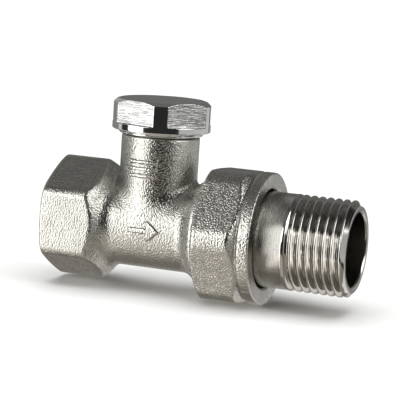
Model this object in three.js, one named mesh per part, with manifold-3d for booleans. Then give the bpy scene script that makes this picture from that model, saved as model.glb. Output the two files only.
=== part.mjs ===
// Straight lockshield radiator valve, 1/2 inch: forged body, gland insert with regulating spindle,
// screw-on cover cap, and a union nut that holds a threaded tailpiece.
// Millimetres, +Z up. Flow runs along +X, the bonnet stands along +Z, and the origin is the middle
// of the inlet's end face, where the pipe that carries the valve goes in.
import * as THREE from "three";
import { mergeVertices } from "three/addons/utils/BufferGeometryUtils.js";
import Module from "manifold-3d";

const wasm = await Module();
wasm.setup();

// ---------------------------------------------------------------- driving dimensions
const FINE = 60; // segments round a large turned surface
const MEDIUM = 40;
const COARSE = 24; // segments round a small hidden surface
const WIRE_SIDES = 8; // sides of an O-ring's section
const GAP = 0.3; // clearance between two pieces that touch
const PAST = 1; // how far a cutter reaches past the face it opens
const BREAK = 0.3; // chamfer that breaks an edge of a small turned piece

const THREAD = { major: 10.48, root: 9.32, pitch: 1.814 }; // G 1/2 pipe thread

const INLET = {
  face: -23.0,
  hexStart: -22.4,
  hexEnd: -12.1,
  coneEnd: -8.4,
  acrossFlats: 24.06,
  corner: 13.57,
  faceRadius: 11.9,
  boreRadius: 9.3,
  boreEnd: -10.5,
  drillPoint: 1.5,
  mouthRadius: 10.5,
  mouthDepth: 1.3,
};
const TUBE = { radius: 9.67, end: 9.3 };
const RIM = { start: 12.2, end: 12.95, radius: 11.8 };
const SPIGOT = { end: 20.5, radius: 12.0, chamfer: 0.7 };
const OUTLET = { bore: 6.0, boreStart: 5.2, socketStart: 15.6, socketRadius: 9.0 };
const OUTLET_STEP = 1.0; // length of the cone between the outlet bore and the tailpiece socket
const OUTLET_MOUTH = { radius: 9.5, depth: 0.8 };
const NECK = { radius: 8.62, top: 20.1, edge: 0.3 };
const NECK_THREAD = { radius: 7.8, top: 24.5, chamfer: 0.5 };
const NECK_BORE = { radius: 6.3, floor: 12.0, cone: 0.6 };
const CHAMBER = { radius: 5.6, floor: -0.5 };
const SEAT = { radius: 3.6, bottom: -4.6 };
const CHANNEL = { radius: 2.9, height: -4.3, start: -12, end: 3.2 };
const WINDOW = { radius: 3.0, height: 2.6, end: 6.5 };

const BUSH = {
  radius: 6.0,
  bottom: 8.6,
  step: 12.3,
  stepLength: 0.7,
  top: 24.2,
  noseRadius: 5.3,
  sealBore: 3.3,
  sealTop: 17.2,
  threadBore: 4.0,
  ringBottom: 23.1,
  ringTop: 23.8,
  ringRadius: 4.6,
  slotWidth: 1.6,
  slotDepth: 1.5,
  topChamfer: 0.4,
};
const BUSH_GROOVE = { bottom: 9.5, top: 11.3, radius: 4.2 };
const SPINDLE = {
  bottom: 3.4,
  tailRadius: 2.4,
  stemBottom: 7.6,
  stemCone: 0.5,
  stemRadius: 3.1,
  threadBottom: 17.5,
  threadRadius: 3.75,
  top: 19.9,
  keyAcrossFlats: 4.0,
  keyDepth: 3.6,
};
const SPINDLE_GROOVES = [
  { bottom: 9.4, top: 10.6 },
  { bottom: 11.5, top: 13.3 },
];
const SPINDLE_GROOVE_RADIUS = 2.3;
const BACKUP_RING = { bottom: 12.65, top: 13.15, inner: 2.5, outer: 3.2 };
const RETAINING_RING = { inner: 3.0, clearance: 0.15, sideClearance: 0.1, split: 1.6, splitStart: 1.0 };
const PLUG = {
  bottom: 0.9,
  top: 5.3,
  radius: 4.9,
  socketFloor: 3.1,
  socketRadius: 2.7,
  topCone: 1.2,
  topLand: 1.0,
};
const SEAL_WASHER = { bottom: -0.2, top: 0.6, outer: 4.5, inner: 1.2 };
const WASHER_SCREW = {
  headBottom: -1.6,
  headTop: -0.5,
  headRadius: 2.0,
  headChamfer: 0.4,
  shankRadius: 0.9,
  top: 2.0,
  holeTop: 2.3,
  slotWidth: 0.6,
  slotDepth: 0.5,
};

const CAP = {
  radius: 10.85,
  bottom: 20.4,
  lipRadius: 9.25,
  lipTop: 20.85,
  ringBottom: 21.3,
  ringTop: 22.75,
  top: 27.9,
  chamfer: 0.65,
  topRadius: 9.75,
  flats: 5,
  flatRadius: 9.6,
  firstFlat: 38, // degrees from +X towards +Y to the middle of one flat
  bore: 8.15,
  boreTop: 26.3,
};
const CAP_GASKET = { bottom: 24.8, top: 26.0, outer: 7.7, inner: 4.4 };

const NUT = {
  face: 13.4,
  hexStart: 14.33,
  hexEnd: 22.2,
  collarStart: 24.2,
  end: 26.6,
  acrossFlats: 28.1,
  turn: -3, // degrees about +X from a hexagon that lies flat
  corner: 15.4, // the hexagon's corners are turned down to this radius
  faceRadius: 13.9,
  collarRadius: 14.42,
  collarStep: 23.35,
  collarCone: 0.8,
  collarEdge: 0.3,
  threadBore: 12.3,
  threadEnd: 23.3,
  bore: 10.75,
  mouthRadius: 12.9,
  mouthDepth: 0.8,
};
const TAIL = {
  noseStart: 15.9,
  noseRadius: 8.7,
  noseChamfer: 0.4,
  noseTaper: 0.6,
  collarStart: 20.9,
  collarEnd: 23.0,
  collarRadius: 11.4,
  radius: 10.41,
  radiusEnd: 32.5,
  firstGroove: 33.76,
  grooves: 7,
  end: 46.2,
  endRadius: 9.26,
  bore: 7.99,
  boreStart: 27.5,
  noseBore: 6.5,
  throatCone: 1.5,
};
const TAIL_GROOVE = { start: 17.2, end: 19.4, radius: 7.1 };

const ORINGS = {
  gland: { radius: 4.85, wire: 0.6, at: (BUSH_GROOVE.bottom + BUSH_GROOVE.top) / 2 },
  spindleLower: { radius: 2.79, wire: 0.45, at: 10.0 },
  spindleUpper: { radius: 2.79, wire: 0.45, at: 12.1 },
  tailpiece: { radius: 8.03, wire: 0.9, at: (TAIL_GROOVE.start + TAIL_GROOVE.end) / 2 },
};

// ---------------------------------------------------------------- finishes
const finish = (color, roughness, metalness) =>
  new THREE.MeshStandardMaterial({ color, roughness, metalness });
const satinNickel = finish(0xb4b2ab, 0.38, 1.0);
const chrome = finish(0xd6d7d8, 0.12, 1.0);
const turnedNickel = finish(0xbdb9b1, 0.24, 1.0);
const brass = finish(0xc2a15a, 0.32, 1.0);
const springSteel = finish(0x8d8f92, 0.35, 1.0);
const rubber = finish(0x1c1c1e, 0.75, 0.0);
const ptfe = finish(0xe9e8e2, 0.55, 0.0);
const fibre = finish(0x7b2f2a, 0.8, 0.0);

// ---------------------------------------------------------------- solids
// A closed geometry as a solid that can be joined and cut.
function solid(geometry) {
  const bare = geometry.clone();
  bare.deleteAttribute("normal");
  bare.deleteAttribute("uv");
  const merged = mergeVertices(bare, 1e-5);
  return new wasm.Manifold(
    new wasm.Mesh({
      numProp: 3,
      vertProperties: merged.attributes.position.array,
      triVerts: new Uint32Array(merged.index.array),
    }),
  );
}

// A solid back as a geometry with flat-shaded faces.
function geometryOf(made) {
  const mesh = made.getMesh();
  const geometry = new THREE.BufferGeometry();
  geometry.setAttribute("position", new THREE.BufferAttribute(mesh.vertProperties, mesh.numProp));
  geometry.setIndex(new THREE.BufferAttribute(mesh.triVerts, 1));
  const flat = geometry.toNonIndexed();
  flat.computeVertexNormals();
  return flat;
}

// A profile of [radius, height] points, listed upwards along the outside, turned about +Z.
function turned(profile, segments = MEDIUM) {
  const points = profile.map(([radius, height]) => new THREE.Vector2(radius, height));
  return new THREE.LatheGeometry(points, segments).rotateX(Math.PI / 2);
}

// The same about +X: each point is [radius, x].
const turnedX = (profile, segments = FINE) => turned(profile, segments).rotateY(Math.PI / 2);

// A full cylinder about +Z between two heights.
const post = (radius, low, high, segments = MEDIUM) =>
  turned([[0, low], [radius, low], [radius, high], [0, high]], segments);

// A tube about +Z between two heights.
const sleeve = (outer, inner, low, high, segments = MEDIUM) =>
  turned([[inner, low], [outer, low], [outer, high], [inner, high], [inner, low]], segments);

// A full cylinder about +X.
const shaft = (radius, low, high, segments = MEDIUM) =>
  post(radius, low, high, segments).rotateY(Math.PI / 2);

// A hexagonal bar about +X, with its corners towards +Z and -Z, or turned by `turn` about its axis.
function hexBar(acrossFlats, low, high, turn = 0) {
  const corner = acrossFlats / Math.sqrt(3);
  return new THREE.CylinderGeometry(corner, corner, high - low, 6)
    .rotateZ(-Math.PI / 2)
    .rotateX(turn)
    .translate((low + high) / 2, 0, 0);
}

const ring = ({ radius, wire, at }, segments = MEDIUM) =>
  new THREE.TorusGeometry(radius, wire, WIRE_SIDES, segments).translate(0, 0, at);

// ---------------------------------------------------------------- body
function bodyGeometry() {
  const { face, hexStart, hexEnd, coneEnd, corner, faceRadius } = INLET;
  const inletEnvelope = turnedX([
    [0, face],
    [faceRadius, face],
    [corner, hexStart],
    [corner, hexEnd],
    [TUBE.radius, coneEnd],
    [0, coneEnd],
  ]);
  const inlet = solid(hexBar(INLET.acrossFlats, face - PAST, coneEnd + PAST)).intersect(
    solid(inletEnvelope),
  );
  const run = turnedX([
    [0, hexEnd],
    [TUBE.radius, hexEnd],
    [TUBE.radius, TUBE.end],
    [RIM.radius, RIM.start],
    [RIM.radius, RIM.end],
    [SPIGOT.radius - SPIGOT.chamfer, RIM.end],
    [SPIGOT.radius, RIM.end + SPIGOT.chamfer],
    [SPIGOT.radius, SPIGOT.end - SPIGOT.chamfer],
    [SPIGOT.radius - SPIGOT.chamfer, SPIGOT.end],
    [0, SPIGOT.end],
  ]);
  const neck = turned([
    [0, 0],
    [NECK.radius, 0],
    [NECK.radius, NECK.top - NECK.edge],
    [NECK.radius - NECK.edge, NECK.top],
    [NECK_THREAD.radius, NECK.top],
    [NECK_THREAD.radius, NECK_THREAD.top - NECK_THREAD.chamfer],
    [NECK_THREAD.radius - NECK_THREAD.chamfer, NECK_THREAD.top],
    [0, NECK_THREAD.top],
  ]);

  const socket = turnedX([
    [0, face - PAST],
    [INLET.mouthRadius + PAST, face - PAST],
    [INLET.mouthRadius, face],
    [INLET.boreRadius, face + INLET.mouthDepth],
    [INLET.boreRadius, INLET.boreEnd],
    [CHANNEL.radius, INLET.boreEnd + INLET.drillPoint],
    [0, INLET.boreEnd + INLET.drillPoint],
  ]);
  const outlet = turnedX(
    [
      [0, OUTLET.boreStart],
      [OUTLET.bore, OUTLET.boreStart],
      [OUTLET.bore, OUTLET.socketStart - OUTLET_STEP],
      [OUTLET.socketRadius, OUTLET.socketStart],
      [OUTLET.socketRadius, SPIGOT.end - OUTLET_MOUTH.depth],
      [OUTLET_MOUTH.radius, SPIGOT.end],
      [OUTLET_MOUTH.radius + PAST, SPIGOT.end + PAST],
      [0, SPIGOT.end + PAST],
    ],
    MEDIUM,
  );
  const bonnetBore = turned([
    [0, CHAMBER.floor],
    [CHAMBER.radius, CHAMBER.floor],
    [CHAMBER.radius, NECK_BORE.floor - NECK_BORE.cone],
    [NECK_BORE.radius, NECK_BORE.floor],
    [NECK_BORE.radius, NECK_THREAD.top + PAST],
    [0, NECK_THREAD.top + PAST],
  ]);
  const hollows = [
    socket,
    outlet,
    bonnetBore,
    post(SEAT.radius, SEAT.bottom, CHAMBER.floor + PAST, COARSE),
    shaft(CHANNEL.radius, CHANNEL.start, CHANNEL.end, COARSE).translate(0, 0, CHANNEL.height),
    shaft(WINDOW.radius, 0, WINDOW.end, COARSE).translate(0, 0, WINDOW.height),
  ];
  const outside = inlet.add(solid(run)).add(solid(neck));
  return geometryOf(hollows.reduce((made, hollow) => made.subtract(solid(hollow)), outside));
}

// ---------------------------------------------------------------- gland insert and spindle
function bushGeometry() {
  const turnedBush = turned([
    [BUSH.sealBore, BUSH.bottom],
    [BUSH.noseRadius, BUSH.bottom],
    [BUSH.noseRadius, BUSH_GROOVE.bottom],
    [BUSH_GROOVE.radius, BUSH_GROOVE.bottom],
    [BUSH_GROOVE.radius, BUSH_GROOVE.top],
    [BUSH.noseRadius, BUSH_GROOVE.top],
    [BUSH.noseRadius, BUSH.step],
    [BUSH.radius, BUSH.step + BUSH.stepLength],
    [BUSH.radius, BUSH.top - BUSH.topChamfer],
    [BUSH.radius - BUSH.topChamfer, BUSH.top],
    [BUSH.threadBore, BUSH.top],
    [BUSH.threadBore, BUSH.ringTop],
    [BUSH.ringRadius, BUSH.ringTop],
    [BUSH.ringRadius, BUSH.ringBottom],
    [BUSH.threadBore, BUSH.ringBottom],
    [BUSH.threadBore, BUSH.sealTop],
    [BUSH.sealBore, BUSH.sealTop - BREAK],
    [BUSH.sealBore, BUSH.bottom],
  ]);
  const slotLength = 2 * BUSH.radius + PAST;
  const slot = new THREE.BoxGeometry(slotLength, BUSH.slotWidth, 2 * BUSH.slotDepth);
  slot.translate(0, 0, BUSH.top);
  return geometryOf(solid(turnedBush).subtract(solid(slot)));
}

function spindleGeometry() {
  const grooves = SPINDLE_GROOVES.flatMap(({ bottom, top }) => [
    [SPINDLE.stemRadius, bottom],
    [SPINDLE_GROOVE_RADIUS, bottom],
    [SPINDLE_GROOVE_RADIUS, top],
    [SPINDLE.stemRadius, top],
  ]);
  const stem = [
    [0, SPINDLE.bottom],
    [SPINDLE.tailRadius, SPINDLE.bottom],
    [SPINDLE.tailRadius, SPINDLE.stemBottom],
    [SPINDLE.stemRadius, SPINDLE.stemBottom + SPINDLE.stemCone],
    ...grooves,
    [SPINDLE.stemRadius, SPINDLE.threadBottom],
    [SPINDLE.threadRadius, SPINDLE.threadBottom + BREAK],
    [SPINDLE.threadRadius, SPINDLE.top - BREAK],
    [SPINDLE.threadRadius - BREAK, SPINDLE.top],
    [0, SPINDLE.top],
  ];
  const keyLength = SPINDLE.keyDepth + PAST;
  const key = hexBar(SPINDLE.keyAcrossFlats, -keyLength / 2, keyLength / 2)
    .rotateY(-Math.PI / 2)
    .translate(0, 0, SPINDLE.top + PAST - keyLength / 2);
  return geometryOf(solid(turned(stem, COARSE)).subtract(solid(key)));
}

// A split ring that springs into the groove above the spindle.
function retainingRingGeometry() {
  const { inner, clearance, sideClearance, split, splitStart } = RETAINING_RING;
  const outer = BUSH.ringRadius - clearance;
  const low = BUSH.ringBottom + sideClearance;
  const high = BUSH.ringTop - sideClearance;
  const whole = sleeve(outer, inner, low, high);
  const opening = new THREE.BoxGeometry(outer, split, BUSH.top);
  opening.translate(splitStart + outer / 2, 0, BUSH.top);
  return geometryOf(solid(whole).subtract(solid(opening)));
}

function plugGeometry() {
  const hole = WASHER_SCREW.shankRadius + GAP;
  return turned([
    [hole, PLUG.bottom],
    [PLUG.radius - BREAK, PLUG.bottom],
    [PLUG.radius, PLUG.bottom + BREAK],
    [PLUG.radius, PLUG.top - PLUG.topCone],
    [PLUG.socketRadius + PLUG.topLand, PLUG.top],
    [PLUG.socketRadius, PLUG.top],
    [PLUG.socketRadius, PLUG.socketFloor],
    [0, PLUG.socketFloor],
    [0, WASHER_SCREW.holeTop],
    [hole, WASHER_SCREW.holeTop],
    [hole, PLUG.bottom],
  ]);
}

function washerScrewGeometry() {
  const { headBottom, headTop, headRadius, headChamfer, shankRadius, top } = WASHER_SCREW;
  const screw = [
    [0, headBottom],
    [headRadius - headChamfer, headBottom],
    [headRadius, headBottom + headChamfer],
    [headRadius, headTop],
    [shankRadius, headTop],
    [shankRadius, top],
    [0, top],
  ];
  const slotLength = 2 * headRadius + PAST;
  const slotHeight = 2 * WASHER_SCREW.slotDepth;
  const slot = new THREE.BoxGeometry(slotLength, WASHER_SCREW.slotWidth, slotHeight);
  slot.translate(0, 0, headBottom);
  return geometryOf(solid(turned(screw, COARSE)).subtract(solid(slot)));
}

// ---------------------------------------------------------------- cover cap
function capGeometry() {
  const shell = [
    [CAP.bore, CAP.bottom],
    [CAP.lipRadius, CAP.bottom],
    [CAP.lipRadius, CAP.lipTop],
    [CAP.radius, CAP.ringBottom],
    [CAP.radius, CAP.top - CAP.chamfer],
    [CAP.topRadius, CAP.top],
    [0, CAP.top],
    [0, CAP.boreTop],
    [CAP.bore, CAP.boreTop],
    [CAP.bore, CAP.bottom],
  ];
  let made = solid(turned(shell, FINE));
  const depth = CAP.radius;
  for (let i = 0; i < CAP.flats; i++) {
    const cutter = new THREE.BoxGeometry(depth, 2 * CAP.radius, CAP.top)
      .translate(CAP.flatRadius + depth / 2, 0, CAP.ringTop + CAP.top / 2)
      .rotateZ(THREE.MathUtils.degToRad(CAP.firstFlat + (i * 360) / CAP.flats));
    made = made.subtract(solid(cutter));
  }
  return geometryOf(made);
}

// ---------------------------------------------------------------- union
function nutGeometry() {
  const envelope = turnedX([
    [0, NUT.face],
    [NUT.faceRadius, NUT.face],
    [NUT.corner, NUT.hexStart],
    [NUT.corner, NUT.hexEnd],
    [NUT.collarRadius, NUT.collarStart],
    [0, NUT.collarStart],
  ]);
  const collar = turnedX([
    [0, NUT.collarStep],
    [NUT.collarRadius - NUT.collarCone, NUT.collarStep],
    [NUT.collarRadius, NUT.collarStart],
    [NUT.collarRadius, NUT.end - NUT.collarEdge],
    [NUT.collarRadius - NUT.collarEdge, NUT.end],
    [0, NUT.end],
  ]);
  const hollow = turnedX([
    [0, NUT.face - PAST],
    [NUT.mouthRadius + PAST, NUT.face - PAST],
    [NUT.mouthRadius, NUT.face],
    [NUT.threadBore, NUT.face + NUT.mouthDepth],
    [NUT.threadBore, NUT.threadEnd],
    [NUT.bore, NUT.threadEnd],
    [NUT.bore, NUT.end + PAST],
    [0, NUT.end + PAST],
  ]);
  const turn = Math.PI / 6 + THREE.MathUtils.degToRad(NUT.turn);
  const hex = solid(hexBar(NUT.acrossFlats, NUT.face - PAST, NUT.end, turn));
  return geometryOf(hex.intersect(solid(envelope)).add(solid(collar)).subtract(solid(hollow)));
}

function tailpieceGeometry() {
  const grooves = [[THREAD.major, TAIL.firstGroove - THREAD.pitch / 2]];
  for (let i = 0; i < TAIL.grooves; i++) {
    const middle = TAIL.firstGroove + i * THREAD.pitch;
    grooves.push([THREAD.root, middle]);
    grooves.push([THREAD.major, middle + THREAD.pitch / 2]);
  }
  const profile = [
    [TAIL.noseBore, TAIL.noseStart],
    [TAIL.noseRadius - TAIL.noseChamfer, TAIL.noseStart],
    [TAIL.noseRadius, TAIL.noseStart + TAIL.noseTaper],
    [TAIL.noseRadius, TAIL_GROOVE.start],
    [TAIL_GROOVE.radius, TAIL_GROOVE.start],
    [TAIL_GROOVE.radius, TAIL_GROOVE.end],
    [TAIL.noseRadius, TAIL_GROOVE.end],
    [TAIL.noseRadius, TAIL.collarStart],
    [TAIL.collarRadius, TAIL.collarStart],
    [TAIL.collarRadius, TAIL.collarEnd],
    [TAIL.radius, TAIL.collarEnd],
    [TAIL.radius, TAIL.radiusEnd],
    ...grooves,
    [TAIL.endRadius, TAIL.end],
    [TAIL.bore, TAIL.end],
    [TAIL.bore, TAIL.boreStart],
    [TAIL.noseBore, TAIL.boreStart - TAIL.throatCone],
    [TAIL.noseBore, TAIL.noseStart],
  ];
  return turnedX(profile, MEDIUM);
}

// ---------------------------------------------------------------- assembly
const valve = new THREE.Group();
// Every piece is drawn round the point where the flow axis crosses the bonnet axis.
const axes = new THREE.Group();
axes.position.set(-INLET.face, 0, 0);
valve.add(axes);

function place(name, geometry, material) {
  const mesh = new THREE.Mesh(geometry, material);
  mesh.name = name;
  axes.add(mesh);
}

const washer = ({ outer, inner, bottom, top }) => sleeve(outer, inner, bottom, top);

place("body", bodyGeometry(), satinNickel);
place("gland_bush", bushGeometry(), brass);
place("gland_oring", ring(ORINGS.gland), rubber);
place("spindle", spindleGeometry(), brass);
place("spindle_oring_lower", ring(ORINGS.spindleLower, COARSE), rubber);
place("spindle_oring_upper", ring(ORINGS.spindleUpper, COARSE), rubber);
place("spindle_backup_ring", washer(BACKUP_RING), ptfe);
place("spindle_retaining_ring", retainingRingGeometry(), springSteel);
place("plug", plugGeometry(), brass);
place("plug_seal_washer", washer(SEAL_WASHER), rubber);
place("plug_washer_screw", washerScrewGeometry(), brass);
place("cap", capGeometry(), chrome);
place("cap_gasket", washer(CAP_GASKET), fibre);
place("union_nut", nutGeometry(), satinNickel);
place("tailpiece", tailpieceGeometry(), turnedNickel);
place("tailpiece_oring", ring(ORINGS.tailpiece).rotateY(Math.PI / 2), rubber);

export default valve;
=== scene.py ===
"""Looks for the straight lockshield valve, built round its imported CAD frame.

Shapes are drawn in millimetres round the point where the flow axis (X) crosses the bonnet axis (Z),
and moved into the object's own frame, in metres, as their meshes are made.
"""

import math
from typing import NamedTuple

import bpy
import numpy as np
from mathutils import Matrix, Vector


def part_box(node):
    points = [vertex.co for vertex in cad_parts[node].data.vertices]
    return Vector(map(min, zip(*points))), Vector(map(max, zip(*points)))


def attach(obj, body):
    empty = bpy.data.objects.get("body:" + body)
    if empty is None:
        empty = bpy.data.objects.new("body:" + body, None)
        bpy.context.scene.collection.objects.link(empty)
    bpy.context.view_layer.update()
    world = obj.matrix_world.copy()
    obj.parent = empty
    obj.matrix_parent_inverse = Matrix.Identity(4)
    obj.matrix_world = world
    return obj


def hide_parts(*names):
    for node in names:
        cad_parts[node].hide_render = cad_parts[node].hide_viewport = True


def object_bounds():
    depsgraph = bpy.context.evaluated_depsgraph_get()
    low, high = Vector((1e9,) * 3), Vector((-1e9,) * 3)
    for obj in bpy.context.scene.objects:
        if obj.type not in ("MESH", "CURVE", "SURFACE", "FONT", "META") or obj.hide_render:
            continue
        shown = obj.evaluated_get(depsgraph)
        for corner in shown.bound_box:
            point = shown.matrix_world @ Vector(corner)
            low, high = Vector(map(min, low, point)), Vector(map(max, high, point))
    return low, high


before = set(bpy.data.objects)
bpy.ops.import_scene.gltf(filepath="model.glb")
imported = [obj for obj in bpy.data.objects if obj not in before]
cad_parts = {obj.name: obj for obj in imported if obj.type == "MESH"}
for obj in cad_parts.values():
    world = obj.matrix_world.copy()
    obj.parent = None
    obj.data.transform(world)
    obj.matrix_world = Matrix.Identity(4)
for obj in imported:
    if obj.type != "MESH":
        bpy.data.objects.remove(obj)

import openvdb
from mathutils import Matrix, Vector

CAD_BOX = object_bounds()
MM = 0.001
CROSSING = Vector((sum(corner.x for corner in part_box("cap")) / 2, 0.0, 0.0))


def node_box(node):
    """A CAD node's lowest and highest corners, in millimetres from the crossing of the axes."""
    low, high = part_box(node)
    return (low - CROSSING) / MM, (high - CROSSING) / MM


BODY_LOW, BODY_HIGH = node_box("body")
CAP_LOW, CAP_HIGH = node_box("cap")
NUT_LOW, NUT_HIGH = node_box("union_nut")
TAIL_LOW, TAIL_HIGH = node_box("tailpiece")
BUSH_LOW, BUSH_HIGH = node_box("gland_bush")
SPINDLE_LOW, SPINDLE_HIGH = node_box("spindle")

# ---------------------------------------------------------------- dimensions, millimetres
INLET_FACE = BODY_LOW.x
HEX_START = INLET_FACE + 0.6
HEX_END = -12.1
HEX_CORNER = 13.57
HEX_FACE_RADIUS = 11.9
HEX_HALF_FLATS = BODY_HIGH.y
CONE_END = -8.4
TUBE_RADIUS, TUBE_END = 9.67, 9.3
RIM_START, RIM_END, RIM_RADIUS = 12.2, 12.95, 11.8
SPIGOT_END = BODY_HIGH.x
SPIGOT_THREAD_RADIUS = 12.0
NECK_RADIUS, NECK_TOP = 8.62, 20.1
NECK_THREAD_RADIUS, NECK_THREAD_TOP = 7.8, BODY_HIGH.z
PIPE_MAJOR, PIPE_MINOR, PIPE_PITCH = 10.48, 9.3, 1.814
COVER_PITCH = 1.0
UNION_PITCH = 1.5

SOCKET_BOTTOM = -10.45
OUTLET_RADIUS, OUTLET_START = 6.0, 5.2
NOSE_SEAT_RADIUS, NOSE_SEAT_START = 9.0, 15.4
NECK_BORE_RADIUS, NECK_BORE_START = 5.6, -0.5
BUSH_BORE_RADIUS, BUSH_BORE_START = 6.3, 12.0
SEAT_RADIUS, SEAT_LOW, SEAT_HIGH = 3.6, -4.6, 2.0
LOWER_WAY_RADIUS, LOWER_WAY_HEIGHT, LOWER_WAY_END = 2.9, -4.3, 3.2
UPPER_WAY_RADIUS, UPPER_WAY_HEIGHT, UPPER_WAY_END = 3.0, 2.6, 6.5

NUT_FACE, NUT_END = NUT_LOW.x, NUT_HIGH.x
NUT_HALF_FLATS = 14.05
NUT_CORNER = 15.4
NUT_TURN = math.radians(-3.0)
NUT_COLLAR_RADIUS = NUT_HIGH.z
NUT_FACE_RADIUS = 13.9
NUT_HEX_END, NUT_COLLAR_FOOT, NUT_COLLAR_START = 22.2, 23.35, 24.2
NUT_HOLLOW_RADIUS, NUT_HOLLOW_END = 12.9, 23.3
NUT_HOLE_RADIUS = 10.75
NUT_THREAD_RADIUS, NUT_THREAD_END = 12.3, 21.5

CAP_RADIUS = CAP_HIGH.y
CAP_RING_TOP = 22.75
CAP_RING_BOTTOM = 21.3
CAP_LIP_RADIUS, CAP_LIP_TOP = 9.25, 20.85
CAP_TOP_RADIUS, CAP_CHAMFER = 9.75, 0.65
CAP_FLAT_RADIUS = 9.6
CAP_FLATS = 5
CAP_FIRST_FLAT = 38.0
CAP_BORE, CAP_BORE_TOP = 8.15, 26.3

TAIL_RADIUS = 10.41
TAIL_END = TAIL_HIGH.x
TAIL_BORE = 7.99
NOSE_RADIUS, NOSE_TAPER_END, NOSE_BORE = 8.7, 16.5, 6.5
GROOVE_RADIUS, GROOVE_START, GROOVE_END = 7.1, 17.2, 19.4
FLANGE_RADIUS, FLANGE_START, FLANGE_END = 11.4, 20.9, 23.0
TAIL_THREAD_SHOULDER, TAIL_THREAD_START, TAIL_CHAMFER = 32.3, 32.6, 45.45

BUSH_RADIUS, BUSH_END = 5.3, 14.0
BUSH_HEAD_RADIUS, BUSH_HEAD_START = 6.0, 12.6
BUSH_STEM_HOLE, BUSH_THREAD_HOLE, BUSH_THREAD_START = 3.3, 4.0, 17.2
BUSH_SEAL_GROOVE = (4.2, 9.5, 11.3)  # radius, low, high
BUSH_CLIP_GROOVE = (4.6, 23.1, 23.8)
SPINDLE_TIP_RADIUS, SPINDLE_RADIUS, SPINDLE_HEAD_RADIUS = 2.4, 3.1, 3.4
SPINDLE_SEAL_GROOVES = ((9.4, 10.6), (11.5, 13.3))
SPINDLE_GROOVE_RADIUS = 2.3
KEY_HALF_FLATS, KEY_DEPTH = 2.0, 3.6
SPINDLE_THREAD_RADIUS, SPINDLE_THREAD_START = 3.75, 17.6
CLIP_RADIUS, CLIP_HEIGHT = 3.73, 23.45

PLUG_RADIUS, PLUG_LOW, PLUG_SHOULDER, PLUG_TOP = 4.9, 0.9, 4.1, 5.3
PLUG_NECK_RADIUS, PLUG_POCKET_RADIUS, PLUG_POCKET_FLOOR = 3.7, 2.7, 3.1
SCREW_HOLE = 1.2
SCREW_RADIUS, SCREW_HEAD_RADIUS, SCREW_LOW, SCREW_HIGH = 0.9, 2.0, -1.6, 2.0
SEAL_LOW, SEAL_HIGH, SEAL_RADIUS = -0.2, 0.6, 4.5
BACKUP_LOW, BACKUP_HIGH, BACKUP_BORE, BACKUP_RADIUS = 12.65, 13.15, 2.5, 3.2
GASKET_LOW, GASKET_HIGH, GASKET_BORE, GASKET_RADIUS = 24.8, 26.0, 4.4, 7.7


# ---------------------------------------------------------------- distance fields
def soft_min(a, b, blend):
    """The smaller of two distances, with the crease between them filled over `blend` millimetres."""
    h = np.maximum(blend - np.abs(a - b), 0.0) / blend
    return np.minimum(a, b) - h * h * blend * 0.25


def soft_max(a, b, blend):
    """The larger of two distances, with the edge between them rounded over `blend` millimetres."""
    return -soft_min(-a, -b, blend)


def span(value, low, high):
    """Distance to the slab between two values of one coordinate."""
    return np.abs(value - (low + high) / 2) - (high - low) / 2


def line(along, radius, start, end):
    """Distance to the cone through two (along, radius) points, outside being on the left of start to end."""
    (a0, r0), (a1, r1) = start, end
    length = math.hypot(a1 - a0, r1 - r0)
    return ((radius - r0) * (a1 - a0) - (along - a0) * (r1 - r0)) / length


def hexagon(u, v, half_flats, blend):
    """A hexagon with two corners on the v axis."""
    slant = math.sqrt(0.75)
    sides = [np.abs(u), np.abs(0.5 * u + slant * v), np.abs(0.5 * u - slant * v)]
    made = soft_max(sides[0] - half_flats, sides[1] - half_flats, blend)
    return soft_max(made, sides[2] - half_flats, blend)


def rod(radius, along, size, low, high, edge=0.3):
    """A cylinder, `radius` being the distance from its axis."""
    return soft_max(radius - size, span(along, low, high), edge)


FAR = 40.0  # past the end of every piece that a bore runs out of


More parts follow.
